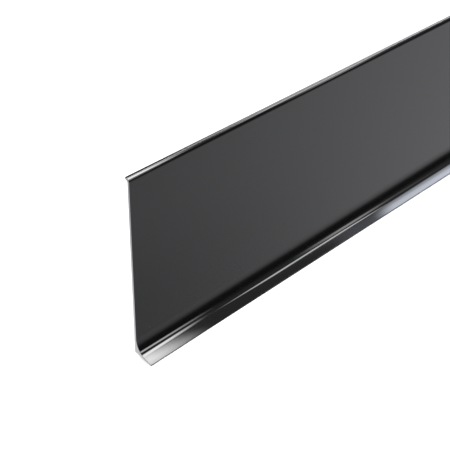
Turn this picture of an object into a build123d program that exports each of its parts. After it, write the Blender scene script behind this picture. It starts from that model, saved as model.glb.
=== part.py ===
from build123d import *
import os
from math import cos, radians, sin, tan

# Kick plate: a cut length of extruded aluminium, coated gloss black, that covers the foot of a wall or
# of a cabinet plinth. A thin upright plate ends at the top in a lip that rounds back to the wall, and at
# the bottom in a cove that runs out into a sloping foot. Two strips of foam tape on its back bond it to
# the wall, and each keeps its release liner until the plate is fitted.
#
# Frame, in millimetres: X along the bar, -Y out of the front, +Y into the wall and +Z up. The origin is
# at floor level, below the middle of the whole.

# Driving dimensions
bar_length = 600.0
bar_height = 80.0
bar_depth = 10.0  # from the wall to the toe of the foot
plate_thickness = 1.0
tape_thickness = 1.2  # the plate's back stands this far off the wall
tape_width = 19.0
tape_inset = 15.0  # from each end of the bar to the tape
liner_thickness = 0.1
liner_tab = 5.0  # the liner runs this far past each end of its tape, to be gripped
liner_corner_radius = 2.0
tape_heights = {"upper": 64.0, "lower": 18.0}  # the middle of each strip

# The lip, a quarter round
lip_radius = 2.0
lip_rear_height = 0.8  # its narrow rear face, which meets the wall
lip_root_drop = 1.5  # where it leaves the plate's back, down from the top of the bar
lip_corner_radius = 0.15
lip_root_radius = 0.5

# The cove and the foot, with slopes in degrees below the horizontal
cove_radius = 8.4
cove_centre_z = 9.27
cove_end_slope = 40.0
foot_root_radius = 4.0
foot_slope = 23.0  # where the foot starts
toe_slope = 20.5  # the foot bends gently on its way down to this
foot_bend_radius = 80.0
heel_z = 2.85  # where the plate's back meets the underside
heel_radius = 0.3
toe_radius = 0.15

# Planes across the depth, from the wall forwards
rear_y = (bar_depth + liner_thickness) / 2
wall_y = rear_y - liner_thickness
back_y = wall_y - tape_thickness
front_y = back_y - plate_thickness
toe_y = wall_y - bar_depth

os.makedirs("parts", exist_ok=True)


def on_circle(centre, radius, angle):
    """The point of a circle in the section at an angle in degrees, counted from +Y towards +Z."""
    return (centre[0] + radius * cos(radians(angle)), centre[1] + radius * sin(radians(angle)))


# The extrusion. Its section is drawn as (Y, Z). The cove is a round tangent to the plate's front, and a
# tighter round carries it on into the foot. The metal is hollow there, so both centres lie before it.
cove_end = cove_end_slope - 90
foot_start = foot_slope - 90
cove_centre = (front_y - cove_radius, cove_centre_z)
foot_root_centre = on_circle(cove_centre, cove_radius - foot_root_radius, cove_end)
foot_top = on_circle(foot_root_centre, foot_root_radius, foot_start)

# The foot bends half way along. It ends in a face that is square to its top and reaches the floor. The
# rounding of the corner between them brings the foot back to the toe plane.
foot_fall = tan(radians(foot_slope))
toe_fall = tan(radians(toe_slope))
toe_rounding = toe_radius * (cos(radians(toe_slope)) + sin(radians(toe_slope)) - 1)
toe_corner_y = toe_y - toe_rounding
half_foot = (foot_top[0] - toe_corner_y) / 2
foot_bend = (foot_top[0] - half_foot, foot_top[1] - half_foot * foot_fall)
toe_top = (toe_corner_y, foot_bend[1] - half_foot * toe_fall)
toe_bottom = (toe_corner_y + toe_top[1] * toe_fall, 0)
heel = (back_y, heel_z)

lip_centre = (front_y + lip_radius, bar_height - lip_radius)
lip_root = (back_y, bar_height - lip_root_drop)
lip_rear_bottom = (wall_y, bar_height - lip_rear_height)
lip_rear_top = (wall_y, bar_height)
lip_top = (lip_centre[0], bar_height)

rounded_corners = [
    (foot_bend, foot_bend_radius),
    (toe_top, toe_radius),
    (heel, heel_radius),
    (lip_root, lip_root_radius),
    (lip_rear_top, lip_corner_radius),
]

with BuildPart() as kick_plate_profile:
    with BuildSketch(Plane.YZ.offset(-bar_length / 2)) as section:
        with BuildLine():
            Line((front_y, lip_centre[1]), (front_y, cove_centre_z))
            CenterArc(cove_centre, cove_radius, 0, cove_end)
            CenterArc(foot_root_centre, foot_root_radius, cove_end, foot_start - cove_end)
            Polyline(foot_top, foot_bend, toe_top, toe_bottom, heel)
            Polyline(heel, lip_root, lip_rear_bottom, lip_rear_top, lip_top)
            CenterArc(lip_centre, lip_radius, 90, 90)
        make_face()
        for corner, radius in rounded_corners:
            fillet(section.vertices().sort_by_distance((*corner, 0))[0], radius)
    extrude(amount=bar_length)
kick_plate_profile.part.label = "kick_plate_profile"
export_step(kick_plate_profile.part, "parts/kick_plate_profile.step")

# The tapes and their liners. Each is a flat strip that lies in a plane parallel to the wall.
tape_length = bar_length - 2 * tape_inset
liner_length = tape_length + 2 * liner_tab


def strip_plane(front, middle_z):
    """The plane of a strip's front face. It faces the wall, and the strip is extruded towards the wall."""
    return Plane(origin=(0, front, middle_z), x_dir=(1, 0, 0), z_dir=(0, 1, 0))


for place, middle_z in tape_heights.items():
    with BuildPart() as foam_tape:
        with BuildSketch(strip_plane(back_y, middle_z)):
            Rectangle(tape_length, tape_width)
        extrude(amount=tape_thickness)
    foam_tape.part.label = f"{place}_foam_tape"
    export_step(foam_tape.part, f"parts/{foam_tape.part.label}.step")

    with BuildPart() as release_liner:
        with BuildSketch(strip_plane(wall_y, middle_z)):
            RectangleRounded(liner_length, tape_width, liner_corner_radius)
        extrude(amount=liner_thickness)
    release_liner.part.label = f"{place}_release_liner"
    export_step(release_liner.part, f"parts/{release_liner.part.label}.step")
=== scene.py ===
from math import acos, ceil, cos, radians, sin, tan

import bmesh
import bpy
from mathutils import Matrix, Vector, noise
from mathutils.geometry import tessellate_polygon


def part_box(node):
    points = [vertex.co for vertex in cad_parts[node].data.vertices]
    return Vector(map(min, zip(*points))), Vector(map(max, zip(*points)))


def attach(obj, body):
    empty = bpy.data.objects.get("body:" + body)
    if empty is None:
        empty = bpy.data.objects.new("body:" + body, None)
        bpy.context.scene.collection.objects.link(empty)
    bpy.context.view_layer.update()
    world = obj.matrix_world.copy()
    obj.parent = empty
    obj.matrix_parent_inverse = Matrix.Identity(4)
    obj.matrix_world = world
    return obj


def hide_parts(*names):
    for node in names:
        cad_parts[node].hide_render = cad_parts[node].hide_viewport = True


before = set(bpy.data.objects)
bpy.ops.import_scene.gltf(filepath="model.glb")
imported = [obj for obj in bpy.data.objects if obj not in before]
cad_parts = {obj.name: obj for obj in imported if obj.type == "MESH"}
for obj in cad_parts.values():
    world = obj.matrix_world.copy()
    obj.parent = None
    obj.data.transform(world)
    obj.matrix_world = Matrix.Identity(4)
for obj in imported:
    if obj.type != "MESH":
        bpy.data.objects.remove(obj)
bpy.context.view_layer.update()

# A length of gloss black aluminium kick plate with its foam tapes and their release liners. Everything is
# in metres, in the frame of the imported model: X along the bar, -Y out of the front, +Z up, floor at zero.

MM = 0.001

# Places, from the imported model
bar_low, bar_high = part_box("kick_plate_profile")
tape_front_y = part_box("upper_foam_tape")[0].y

# The section's own dimensions
plate_thickness = 1.0 * MM
lip_radius = 2.0 * MM
lip_rear_height = 0.8 * MM
lip_rear_radius = 0.15 * MM
lip_root_drop = 1.5 * MM
lip_root_radius = 0.5 * MM
cove_radius = 8.4 * MM
cove_centre_z = 9.27 * MM
cove_end_slope = radians(40)
foot_root_radius = 4.0 * MM
foot_slope = radians(23)  # where the foot starts
toe_slope = radians(20.5)  # the foot bends gently on its way down to this
foot_bend_radius = 80.0 * MM
heel_z = 2.85 * MM
heel_radius = 0.3 * MM
toe_radius = 0.15 * MM
saw_burr = 0.07 * MM  # how far the edges round the sawn ends are broken

ARC_ERROR = 0.0006 * MM  # how far a chord may leave its arc
RING_SPACING = 20 * MM  # from ring to ring along the bar
SAME_PLACE = 0.001 * MM  # points of an outline nearer than this are one
TOLERANCE = 0.01 * MM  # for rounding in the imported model's numbers

RIG_HEIGHT = 0.55  # from the floor up to the lowest soft box
RIG_STEP = 0.002  # each soft box hangs this far above the one before


# ---------------------------------------------------------------------------------------------------------
# Node helpers


def new_material(name):
    """An empty node material, its Principled shader and its node tree."""
    material = bpy.data.materials.new(name)
    material.use_nodes = True
    tree = material.node_tree
    return material, tree.nodes["Principled BSDF"], tree


def feed(tree, socket, value):
    """Links value to socket if it is a socket itself, and otherwise sets it."""
    if isinstance(value, bpy.types.NodeSocket):
        tree.links.new(value, socket)
    else:
        socket.default_value = value


def add(tree, kind, inputs=None, **settings):
    """A new node of that kind, with its settings made and its inputs fed, by name or by number."""
    node = tree.nodes.new(kind)
    for name, value in settings.items():
        setattr(node, name, value)
    for name, value in (inputs or {}).items():
        feed(tree, node.inputs[name], value)
    return node


def maths(tree, operation, *values):
    """The result of that operation on the values."""
    node = add(tree, "ShaderNodeMath", operation=operation)
    for socket, value in zip(node.inputs, values):
        feed(tree, socket, value)
    return node.outputs[0]


def ramp(tree, value, start, end, low=0.0, high=1.0):
    """A smooth climb from low to high as value goes from start to end."""
    node = add(
        tree,
        "ShaderNodeMapRange",
        {"From Min": start, "From Max": end, "To Min": low, "To Max": high, "Value": value},
        interpolation_type="SMOOTHSTEP",
    )
    return node.outputs["Result"]


def place(tree, scale=(1, 1, 1)):
    """A point's place on the object in metres, scaled apart along each axis."""
    here = add(tree, "ShaderNodeTexCoord").outputs["Object"]
    return add(tree, "ShaderNodeMapping", {"Vector": here, "Scale": scale}).outputs["Vector"]


def grain(tree, size, stretch=(1, 1, 1), detail=3.0, roughness=0.5):
    """Noise whose blobs are about that size, in metres, and stretched along each axis by that factor."""
    scale = [1 / (size * factor) for factor in stretch]
    inputs = {"Vector": place(tree, scale), "Scale": 1.0, "Detail": detail, "Roughness": roughness}
    return add(tree, "ShaderNodeTexNoise", inputs).outputs["Fac"]


def blend(tree, amount, low, high):
    """The colour between low and high."""
    node = add(tree, "ShaderNodeMix", data_type="RGBA")
    for name, value in (("Factor_Float", amount), ("A_Color", low), ("B_Color", high)):
        socket = next(s for s in node.inputs if s.identifier == name)
        feed(tree, socket, value if isinstance(value, (bpy.types.NodeSocket, float)) else (*value, 1))
    return next(s for s in node.outputs if s.identifier == "Result_Color")


def bump(tree, height, depth, below=None):
    """A bump normal that is depth metres high, on top of another one."""
    inputs = {"Height": height, "Distance": depth, "Strength": 1.0}
    if below is not None:
        inputs["Normal"] = below
    return add(tree, "ShaderNodeBump", inputs).outputs["Normal"]


# ---------------------------------------------------------------------------------------------------------
# Materials


def gloss_coating():
    """Gloss black coating: a dark clear mirror with faint orange peel, die lines along the bar and dust."""
    material, shader, tree = new_material("gloss_black_coating")
    peel = grain(tree, 3.0 * MM, detail=1.0)
    die_lines = grain(tree, 0.5 * MM, stretch=(400, 1, 1), detail=2.0)
    cloud = grain(tree, 25 * MM, stretch=(3, 1, 1), detail=4.0)
    specks = add(tree, "ShaderNodeTexVoronoi", {"Vector": place(tree), "Scale": 1 / (9 * MM)})
    dust = ramp(tree, specks.outputs["Distance"], 0.018, 0.008)
    colour = blend(tree, dust, (0.0025, 0.0025, 0.0027), (0.16, 0.15, 0.14))
    feed(tree, shader.inputs["Base Color"], colour)
    film = ramp(tree, cloud, 0.35, 0.75, 0.035, 0.075)
    dull_specks = maths(tree, "MULTIPLY", dust, 0.5)
    feed(tree, shader.inputs["Roughness"], maths(tree, "MAXIMUM", film, dull_specks))
    lines = bump(tree, die_lines, 0.0014 * MM)
    feed(tree, shader.inputs["Normal"], bump(tree, peel, 0.002 * MM, lines))
    shader.inputs["IOR"].default_value = 1.5
    return material


def back_coating():
    """The same coating on the back, thinner and duller, with the die lines showing through it."""
    material, shader, tree = new_material("satin_black_back")
    die_lines = grain(tree, 0.35 * MM, stretch=(600, 1, 1), detail=4.0, roughness=0.6)
    cloud = grain(tree, 18 * MM, stretch=(4, 1, 1), detail=4.0)
    colour = blend(tree, cloud, (0.009, 0.009, 0.010), (0.016, 0.016, 0.017))
    feed(tree, shader.inputs["Base Color"], colour)
    feed(tree, shader.inputs["Roughness"], ramp(tree, die_lines, 0.3, 0.7, 0.24, 0.38))
    feed(tree, shader.inputs["Normal"], bump(tree, die_lines, 0.004 * MM))
    shader.inputs["IOR"].default_value = 1.5
    return material


def sawn_aluminium():
    """Bare aluminium where the bar is sawn off, with the marks that the blade's teeth left. Its colour has
    painted shading: darker towards the top and lighter towards the bottom, as the light falls on the cut
    face."""
    material, shader, tree = new_material("sawn_aluminium")
    saw_marks = grain(tree, 0.12 * MM, stretch=(1, 30, 1), detail=3.0, roughness=0.65)
    smear = grain(tree, 3 * MM, detail=3.0)
    height = add(tree, "ShaderNodeSeparateXYZ", {"Vector": place(tree)}).outputs["Z"]
    # Painted shading: the colour runs from dark at the top of the bar to light at the bottom, with a random
    # smear on top.
    smear_and_painted_shade = maths(tree, "MULTIPLY_ADD", smear, 0.3, ramp(tree, height, bar_high.z, 0.0, 0.0, 0.7))
    colour = blend(tree, smear_and_painted_shade, (0.42, 0.42, 0.43), (0.88, 0.88, 0.89))
    feed(tree, shader.inputs["Base Color"], colour)
    feed(tree, shader.inputs["Roughness"], ramp(tree, saw_marks, 0.25, 0.75, 0.30, 0.48))
    feed(tree, shader.inputs["Normal"], bump(tree, saw_marks, 0.006 * MM))
    shader.inputs["Metallic"].default_value = 1.0
    return material


def foam_core():
    """The tape's white foam, with the small open cells that its cut sides show. The cells are coloured
    darker than the walls, as painted shade in their hollows.
    """
    material, shader, tree = new_material("foam_core")
    cells = add(tree, "ShaderNodeTexVoronoi", {"Vector": place(tree), "Scale": 1 / (0.22 * MM)})
    pores = ramp(tree, cells.outputs["Distance"], 0.1, 0.55)
    tone = grain(tree, 12 * MM, detail=3.0)
    walls = blend(tree, tone, (0.80, 0.80, 0.77), (0.70, 0.70, 0.67))
    # Painted shade: the cells' hollows are coloured darker than the walls around them.
    feed(tree, shader.inputs["Base Color"], blend(tree, pores, (0.52, 0.52, 0.50), walls))
    feed(tree, shader.inputs["Roughness"], ramp(tree, pores, 0.0, 1.0, 0.95, 0.75))
    feed(tree, shader.inputs["Normal"], bump(tree, pores, 0.05 * MM))
    return material


def adhesive_film():
    """The tape's tacky acrylic face: smoother than the foam, with faint coating streaks and bubbles."""
    material, shader, tree = new_material("adhesive_film")
    streaks = grain(tree, 0.8 * MM, stretch=(60, 1, 1), detail=3.0)
    mottle = grain(tree, 4 * MM, detail=5.0)
    bubbles = add(tree, "ShaderNodeTexVoronoi", {"Vector": place(tree), "Scale": 1 / (2.4 * MM)})
    bubble = ramp(tree, bubbles.outputs["Distance"], 0.16, 0.10)
    feed(tree, shader.inputs["Base Color"], blend(tree, mottle, (0.66, 0.66, 0.62), (0.80, 0.80, 0.76)))
    feed(tree, shader.inputs["Roughness"], ramp(tree, streaks, 0.3, 0.7, 0.16, 0.34))
    dimples = bump(tree, bubble, 0.02 * MM)
    feed(tree, shader.inputs["Normal"], bump(tree, streaks, 0.012 * MM, dimples))
    return material


def liner_paper():
    """Silicone-coated release paper, pale straw yellow, with long fibres and a soft sheen."""
    material, shader, tree = new_material("release_paper")
    fibres = grain(tree, 0.18 * MM, stretch=(9, 1, 2), detail=5.0, roughness=0.7)
    mottle = grain(tree, 6 * MM, detail=4.0)
    base = blend(tree, mottle, (0.74, 0.64, 0.42), (0.80, 0.71, 0.50))
    spots = ramp(tree, fibres, 0.62, 0.72)
    feed(tree, shader.inputs["Base Color"], blend(tree, spots, base, (0.62, 0.50, 0.30)))
    feed(tree, shader.inputs["Roughness"], ramp(tree, fibres, 0.3, 0.7, 0.36, 0.52))
    feed(tree, shader.inputs["Normal"], bump(tree, fibres, 0.006 * MM))
    return material


# ---------------------------------------------------------------------------------------------------------
# Mesh helpers


def mesh_object(name, mesh_data, materials):
    """Puts a bmesh into a new object of the scene, smooth where it is round and sharp at its corners."""
    bmesh.ops.recalc_face_normals(mesh_data, faces=mesh_data.faces)
    mesh = bpy.data.meshes.new(name)
    mesh_data.to_mesh(mesh)
    mesh_data.free()
    for material in materials:
        mesh.materials.append(material)
    mesh.shade_smooth()
    mesh.set_sharp_from_angle(angle=radians(30))
    made = bpy.data.objects.new(name, mesh)
    bpy.context.scene.collection.objects.link(made)
    return made


def join(data, row, following):
    """A strip of faces between two rows of vertices."""
    for index in range(len(row) - 1):
        data.faces.new((row[index], row[index + 1], following[index + 1], following[index]))


def rounded_outline(corners):
    """The closed outline, as (y, z) points, through corners given as (y, z, radius)."""
    points = []
    for index, (y, z, radius) in enumerate(corners):
        corner = Vector((y, z))
        before = (Vector(corners[index - 1][:2]) - corner).normalized()
        after = (Vector(corners[(index + 1) % len(corners)][:2]) - corner).normalized()
        if radius == 0:
            points.append(corner)
            continue
        half_opening = before.angle(after) / 2
        to_centre = (before + after).normalized() * radius / sin(half_opening)
        centre = corner + to_centre
        start = corner + before * radius / tan(half_opening) - centre
        end = corner + after * radius / tan(half_opening) - centre
        turn = start.angle_signed(end)
        steps = max(2, ceil(abs(turn) / (2 * acos(1 - ARC_ERROR / radius))))
        for step in range(steps + 1):
            points.append(centre + start @ Matrix.Rotation(turn * step / steps, 2))
    return [point for index, point in enumerate(points) if (point - points[index - 1]).length > SAME_PLACE]


def inset(points, distance):
    """The outline moved inwards by distance, for an outline that runs clockwise or anticlockwise."""
    area = sum(a.cross(b) for a, b in zip(points, points[1:] + points[:1]))
    side = 1 if area > 0 else -1
    moved = []
    for index, point in enumerate(points):
        along = (points[(index + 1) % len(points)] - points[index - 1]).normalized()
        moved.append(point + side * distance * Vector((-along.y, along.x)))
    return moved


# ---------------------------------------------------------------------------------------------------------
# The extrusion


def section_corners():
    """The corners of the extrusion's section as (y, z, radius), from the lip round the back to the cove."""
    front_y = tape_front_y - plate_thickness
    top_z = bar_high.z
    wall_y = bar_high.y
    cove_tangent = cove_radius * tan((radians(90) - cove_end_slope) / 2)
    root_tangent = foot_root_radius * tan((cove_end_slope - foot_slope) / 2)
    cove_corner = Vector((front_y, cove_centre_z - cove_tangent))
    down_the_cove = Vector((-cos(cove_end_slope), -sin(cove_end_slope)))
    foot_corner = cove_corner + down_the_cove * (cove_tangent + root_tangent)
    toe_y = bar_low.y - toe_radius * (cos(toe_slope) + sin(toe_slope) - 1)
    foot_top = foot_corner - Vector((cos(foot_slope), sin(foot_slope))) * root_tangent
    half_foot = (foot_top.x - toe_y) / 2
    foot_bend = foot_top - Vector((half_foot, half_foot * tan(foot_slope)))
    toe_z = foot_bend.y - half_foot * tan(toe_slope)
    return [
        (front_y, top_z, lip_radius),
        (wall_y, top_z, lip_rear_radius),
        (wall_y, top_z - lip_rear_height, 0),
        (tape_front_y, top_z - lip_root_drop, lip_root_radius),
        (tape_front_y, heel_z, heel_radius),
        (toe_y + toe_z * tan(toe_slope), 0, 0),
        (toe_y, toe_z, toe_radius),
        (*foot_bend, foot_bend_radius),
        (*foot_corner, foot_root_radius),
        (*cove_corner, cove_radius),
    ]


def make_extrusion():
    """The bar, as rings of its section from end to end, with a plain face over each sawn end."""
    outline = rounded_outline(section_corners())
    sawn_outline = inset(outline, saw_burr)
    straight_length = bar_high.x - bar_low.x - 2 * saw_burr
    spans = ceil(straight_length / RING_SPACING)
    stations = [(bar_low.x, sawn_outline)]
    for index in range(spans + 1):
        stations.append((bar_low.x + saw_burr + straight_length * index / spans, outline))
    stations.append((bar_high.x, sawn_outline))

    data = bmesh.new()
    rings = [[data.verts.new((x, *point)) for point in points] for x, points in stations]
    coated, sawn, back = range(3)
    lip_top = bar_high.z - 0.1 * MM  # from here up, the lip's rear is coated like the front
    for ring, following in zip(rings, rings[1:]):
        for index, vertex in enumerate(ring):
            before = ring[index - 1]
            face = data.faces.new((before, vertex, following[index], following[index - 1]))
            behind = min(before.co.y, vertex.co.y) > tape_front_y - TOLERANCE
            below_top = max(before.co.z, vertex.co.z) < lip_top
            face.material_index = back if behind and below_top else coated
    for triangle in tessellate_polygon([[Vector((*point, 0)) / MM for point in sawn_outline]]):
        for ring in (rings[0], rings[-1]):
            data.faces.new([ring[index] for index in triangle]).material_index = sawn

    made = mesh_object("extrusion", data, [gloss_coating(), sawn_aluminium(), back_coating()])
    shading = made.modifiers.new("even shading", "WEIGHTED_NORMAL")
    shading.keep_sharp = True
    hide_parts("kick_plate_profile")
    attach(made, "plate")
    return made


# ---------------------------------------------------------------------------------------------------------
# Foam tapes and release liners


def rim(half_length, half_width, spacing):
    """The places round a strip's edge, anticlockwise seen from the front, with the way out at each."""
    along = ceil(2 * half_length / spacing)
    across = ceil(2 * half_width / spacing)
    sides = [
        (Vector((-1, 0, -1)), Vector((1, 0, 0)), half_length, along, Vector((0, 0, -1))),
        (Vector((1, 0, -1)), Vector((0, 0, 1)), half_width, across, Vector((1, 0, 0))),
        (Vector((1, 0, 1)), Vector((-1, 0, 0)), half_length, along, Vector((0, 0, 1))),
        (Vector((-1, 0, 1)), Vector((0, 0, -1)), half_width, across, Vector((-1, 0, 0))),
    ]
    places = []
    for corner, way, half_side, steps, out in sides:
        start = Vector((corner.x * half_length, 0, corner.z * half_width))
        for step in range(steps):
            # At a corner the way out is the way out of both of its sides at once.
            outward = corner if step == 0 else out
            places.append((start + way * 2 * half_side * step / steps, outward))
    return places


def make_tape(node, materials):
    """A strip of double-sided foam tape. Its cut sides pull in a little between the two adhesive faces."""
    low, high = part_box(node)
    pull = 0.16 * MM  # how deep the sides pull in half way through the foam
    wander = 0.07 * MM  # how far the knife wandered
    blob = 4 * MM  # from one of its swerves to the next
    squeeze = 8  # the swerves change this much faster through the foam's thickness than along it
    layers = 6
    spacing = 3 * MM
    middle = (low + high) / 2
    places = rim((high.x - low.x) / 2, (high.z - low.z) / 2, spacing)

    data = bmesh.new()
    rings = []
    for layer in range(layers + 1):
        depth = layer / layers
        y = low.y + (high.y - low.y) * depth
        ring = []
        for place_on_rim, out in places:
            here = middle + place_on_rim
            unevenness = (noise.noise(Vector((here.x, y * squeeze, here.z)) / blob) + 1) / 2
            drawn_in = pull * sin(radians(180) * depth) + wander * unevenness
            at = here - out * drawn_in
            ring.append(data.verts.new((at.x, y, at.z)))
        rings.append(ring)
    foam, film = range(2)
    for ring, following in zip(rings, rings[1:]):
        for index in range(len(ring)):
            corners = (ring[index - 1], ring[index], following[index], following[index - 1])
            data.faces.new(corners).material_index = foam
    for ring in (rings[0], rings[-1]):
        for triangle in tessellate_polygon([[vertex.co.xzy / MM for vertex in ring]]):
            data.faces.new([ring[index] for index in triangle]).material_index = film

    made = mesh_object(node.replace("_foam_tape", "_tape"), data, materials)
    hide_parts(node)
    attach(made, "plate")
    return made


def liner_stations(low, high, tape_low, tape_high, corner_radius):
    """Places along a liner: close together round its corners and on its tabs, and far apart on the tape."""
    steps = 8
    tab = tape_low.x - low.x
    first_tab = []
    for step in range(steps + 1):
        first_tab.append(low.x + corner_radius * (1 - cos(radians(90) * step / steps)))
    for step in range(1, steps + 1):
        first_tab.append(low.x + corner_radius + (tab - corner_radius) * step / steps)
    spans = ceil((tape_high.x - tape_low.x) / RING_SPACING)
    inner = [tape_low.x + (tape_high.x - tape_low.x) * index / spans for index in range(1, spans)]
    last_tab = [low.x + high.x - x for x in reversed(first_tab)]
    return first_tab + inner + last_tab


def make_liner(node, body, tape, paper):
    """A strip of release paper. The two tabs past the tape's ends curl a little towards the plate."""
    low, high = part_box(node)
    tape_low, tape_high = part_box(tape)
    corner_radius = 2 * MM
    curl = 0.45 * MM  # how far the tip of a tab bends off the plane of the strip
    tab = tape_low.x - low.x
    middle_z = (low.z + high.z) / 2
    half_width = (high.z - low.z) / 2
    stations = liner_stations(low, high, tape_low, tape_high, corner_radius)

    columns = 8
    data = bmesh.new()
    faces_of_paper = []
    for y in (low.y, high.y):
        grid = []
        for x in stations:
            from_end = min(x - low.x, high.x - x)
            past_round = min(from_end / corner_radius, 1)
            half = half_width - corner_radius + corner_radius * (1 - (1 - past_round) ** 2) ** 0.5
            bent = curl * max(0, 1 - from_end / tab) ** 2
            row = []
            for column in range(columns + 1):
                z = middle_z + half * (2 * column / columns - 1)
                row.append(data.verts.new((x, y - bent, z)))
            grid.append(row)
        faces_of_paper.append(grid)
    for grid in faces_of_paper:
        for row, following in zip(grid, grid[1:]):
            join(data, row, following)
    front, rear = faces_of_paper
    for edge in (0, columns):
        join(data, [row[edge] for row in front], [row[edge] for row in rear])
    for end in (0, -1):
        join(data, front[end], rear[end])

    made = mesh_object(node.replace("_release_liner", "_liner_paper"), data, [paper])
    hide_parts(node)
    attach(made, body)
    return made


# ---------------------------------------------------------------------------------------------------------
# Studio. The highlights in the photo look like soft boxes over a white table in a dark room. The gloss
# mirrors such a rig here, and nothing else sees it. Everything else is lit evenly, so that the floor and
# the background stay plain and pale.


def stage_piece(name, data, material, mirrored):
    """Puts a bmesh on the stage, where it casts no shadow. The gloss alone sees it if it is mirrored, and
    everything but the gloss sees it if it isn't."""
    mesh = bpy.data.meshes.new(name)
    data.to_mesh(mesh)
    data.free()
    mesh.materials.append(material)
    made = bpy.data.objects.new(name, mesh)
    bpy.context.scene.collection.objects.link(made)
    made.visible_camera = not mirrored
    made.visible_diffuse = not mirrored
    made.visible_glossy = mirrored
    made.visible_shadow = False
    return made


def flat_face(corners):
    """A bmesh with one face through those corners."""
    data = bmesh.new()
    data.faces.new([data.verts.new(corner) for corner in corners])
    return data


def glow(name, colour, strength, feather=None):
    """Plain light. Where feather is given, it fades out towards the edges over that share of each side, and
    what lies behind it shows through, so that soft boxes add up where they overlap."""
    material, shader, tree = new_material(name)
    tree.nodes.remove(shader)
    output = tree.nodes["Material Output"]
    light = add(tree, "ShaderNodeEmission", {"Color": (*colour, 1), "Strength": strength})
    feed(tree, output.inputs["Surface"], light.outputs[0])
    if feather:
        across = add(tree, "ShaderNodeTexCoord").outputs["UV"]
        parts = add(tree, "ShaderNodeSeparateXYZ", {"Vector": across})
        level = strength
        for socket, share in zip(parts.outputs, feather):
            to_edge = maths(tree, "PINGPONG", socket, 0.5)
            level = maths(tree, "MULTIPLY", ramp(tree, to_edge, 0.0, share), level)
        feed(tree, light.inputs["Strength"], level)
        both = add(tree, "ShaderNodeAddShader", {0: light.outputs[0]})
        feed(tree, both.inputs[1], add(tree, "ShaderNodeBsdfTransparent").outputs[0])
        feed(tree, output.inputs["Surface"], both.outputs[0])
    return material


def softbox(order, name, corner, along, across, feather, strength, colour=(1, 1, 1)):
    """A soft box over the table, from one corner and the two sides that leave it, as (x, y)."""
    first, along, across = Vector(corner), Vector(along), Vector(across)
    corners = [first, first + along, first + along + across, first + across]
    shares = [min(0.5, feather / side.length) for side in (along, across)]
    material = glow(name + "_light", colour, strength, shares)
    height = RIG_HEIGHT + RIG_STEP * order
    box = stage_piece(name, flat_face([(*in_plan, height) for in_plan in corners]), material, True)
    layer = box.data.uv_layers.new(name="across")
    for loop, place_in_box in zip(layer.data, [(0, 0), (1, 0), (1, 1), (0, 1)]):
        loop.uv = place_in_box
    return box


def make_softboxes():
    """The soft boxes, each with its name, a corner, the two sides from there, how far in from its edges it
    reaches full strength, that strength, and its colour if it isn't white."""
    daylight = (0.84, 0.89, 1.0)
    boxes = [
        ("key_box", (-0.75, -0.46), (1.017, 0), (-0.167, 0.437), 0.075, 18.2),
        ("key_flap", (-0.90, -0.098), (0.980, 0), (0.092, 0.16), 0.08, 17.6),
        ("low_key_box", (-0.069, -1.227), (0.602, 0.326), (-0.181, 0.330), 0.10, 8.5),
        ("strip_box", (0.170, -0.235), (0.242, 0), (0.052, 0.215), 0.042, 8.4),
        ("side_box", (0.372, -0.372), (0.182, -0.309), (0.160, 0.094), 0.09, 4.1),
        ("side_glow", (0.53, -0.60), (0.22, 0), (0, 0.26), 0.11, 0.8),
        ("far_box_glow", (0.33, -0.05), (0.14, 0), (0, 0.17), 0.05, 0.8, daylight),
        ("far_box", (0.417, -0.039), (0.57, 0), (0, 0.169), 0.045, 9.0, daylight),
        ("rear_box", (0.13, 0.045), (0.82, 0), (0, 0.22), 0.05, 5.0),
        ("back_box", (0.28, 0.27), (0.82, 0), (0, 0.46), 0.10, 4.0),
    ]
    for order, box in enumerate(boxes):
        softbox(order, *box)


def make_world():
    """What the gloss mirrors past the soft boxes: the white table, which darkens towards the edge of the
    room and to the left, and the dark room itself."""
    world = bpy.data.worlds.new("dark_studio")
    bpy.context.scene.world = world
    world.use_nodes = True
    tree = world.node_tree
    backdrop = tree.nodes["Background"]
    heading = add(tree, "ShaderNodeTexCoord").outputs["Generated"]
    way = add(tree, "ShaderNodeSeparateXYZ", {"Vector": heading})
    sideways = maths(tree, "ABSOLUTE", way.outputs["X"])
    upward = way.outputs["Z"]

    # How far up the way points within the bar's section, as the sine of the angle there. The one is a
    # little over, so that nothing is divided by zero.
    just_over_one = 1.0001
    squared = maths(tree, "POWER", sideways, 2.0)
    section_part = maths(tree, "SQRT", maths(tree, "SUBTRACT", just_over_one, squared))
    around = maths(tree, "DIVIDE", upward, section_part)

    to_the_right = ramp(tree, sideways, 0.52, 0.78)
    to_the_left = maths(tree, "SUBTRACT", 1.0, to_the_right)
    off_the_bar = ramp(tree, around, sin(radians(-44.5)), sin(radians(-38)), 0.0, 0.2)
    table = maths(tree, "MULTIPLY_ADD", to_the_right, 0.5, 0.5)
    table = maths(tree, "MULTIPLY_ADD", to_the_left, off_the_bar, table)
    under_the_toe = ramp(tree, around, sin(radians(-85)), sin(radians(-55)), 0.2, 1.0)
    horizon = ramp(tree, upward, sin(radians(-17)), sin(radians(6)), 1.0, 0.07)
    room = ramp(tree, upward, sin(radians(4)), sin(radians(14)), 1.0, 0.4)
    level = table
    for shade in (under_the_toe, horizon, room):
        level = maths(tree, "MULTIPLY", level, shade)
    ceiling = ramp(tree, around, sin(radians(25)), sin(radians(55)), 0.0, 0.28)
    level = maths(tree, "ADD", level, ceiling)
    backdrop.inputs["Color"].default_value = (0.985, 0.99, 1.02, 1)
    feed(tree, backdrop.inputs["Strength"], level)
    seen_by = world.cycles_visibility
    seen_by.camera = False
    seen_by.diffuse = False
    seen_by.transmission = False
    seen_by.scatter = False


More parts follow.
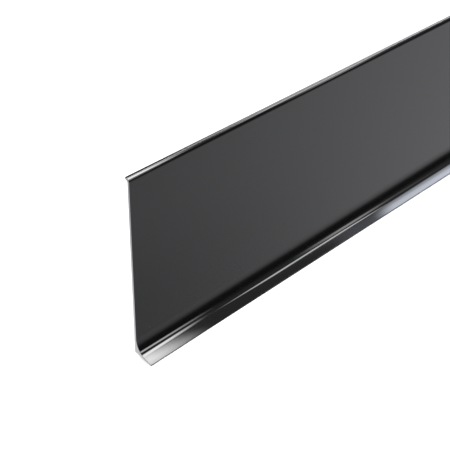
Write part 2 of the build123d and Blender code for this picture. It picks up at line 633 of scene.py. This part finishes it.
def make_room():
    """The pale floor and the pale dome around it, which the gloss doesn't mirror."""
    radius = 12.0
    sides = 48
    turns = [radians(360) * side / sides for side in range(sides)]
    edge = [Vector((cos(turn), sin(turn), 0)) * radius for turn in turns]
    floor_paint, shader, tree = new_material("pale_floor")
    tone = grain(tree, 0.6, detail=2.0)
    feed(tree, shader.inputs["Base Color"], blend(tree, tone, (0.86, 0.86, 0.86), (0.88, 0.88, 0.88)))
    shader.inputs["Roughness"].default_value = 0.9
    shader.inputs["Specular IOR Level"].default_value = 0.1
    shader.inputs["Emission Color"].default_value = (1, 1, 1, 1)
    shader.inputs["Emission Strength"].default_value = 0.5
    below_the_bar = Vector((0, 0, -0.05 * MM))
    stage_piece("floor", flat_face([point + below_the_bar for point in edge]), floor_paint, False)

    data = bmesh.new()
    bmesh.ops.create_uvsphere(data, u_segments=sides, v_segments=sides // 2, radius=radius)
    stage_piece("backdrop", data, glow("backdrop_light", (1, 1, 1), 1.0), False)


def make_sun():
    """A wide soft light from over the camera's shoulder, so that shadows fall behind the bar."""
    light = bpy.data.lights.new("soft_sun", "SUN")
    light.energy = 1.2
    light.angle = radians(50)
    sun = bpy.data.objects.new("soft_sun", light)
    bpy.context.scene.collection.objects.link(sun)
    towards = Vector((0.35, 0.55, -1.0))
    sun.rotation_euler = towards.to_track_quat("-Z", "Y").to_euler()
    sun.visible_glossy = False


def make_camera():
    """The camera looks down and along the bar at its near end."""
    azimuth = radians(-48.0)
    elevation = radians(31.0)
    distance = 0.5014
    from_near_end = 0.0513
    aim_height = 0.0379
    aim = Vector((bar_low.x + from_near_end, tape_front_y - plate_thickness, aim_height))
    back = Vector((sin(azimuth) * cos(elevation), -cos(azimuth) * cos(elevation), sin(elevation)))
    lens = bpy.data.cameras.new("camera")
    lens.lens = 100.1
    lens.clip_start = 0.01
    camera = bpy.data.objects.new("camera", lens)
    camera.location = aim + back * distance
    camera.rotation_mode = "QUATERNION"
    camera.rotation_quaternion = (-back).to_track_quat("-Z", "Y")
    bpy.context.scene.collection.objects.link(camera)
    bpy.context.scene.camera = camera


# ---------------------------------------------------------------------------------------------------------

make_camera()
make_extrusion()
tape_materials = [foam_core(), adhesive_film()]
paper = liner_paper()
for place_name in ("upper", "lower"):
    make_tape(f"{place_name}_foam_tape", tape_materials)
    make_liner(f"{place_name}_release_liner", f"{place_name}_liner", f"{place_name}_foam_tape", paper)

make_room()
make_sun()
make_world()
make_softboxes()
bpy.context.scene.view_settings.view_transform = "Standard"
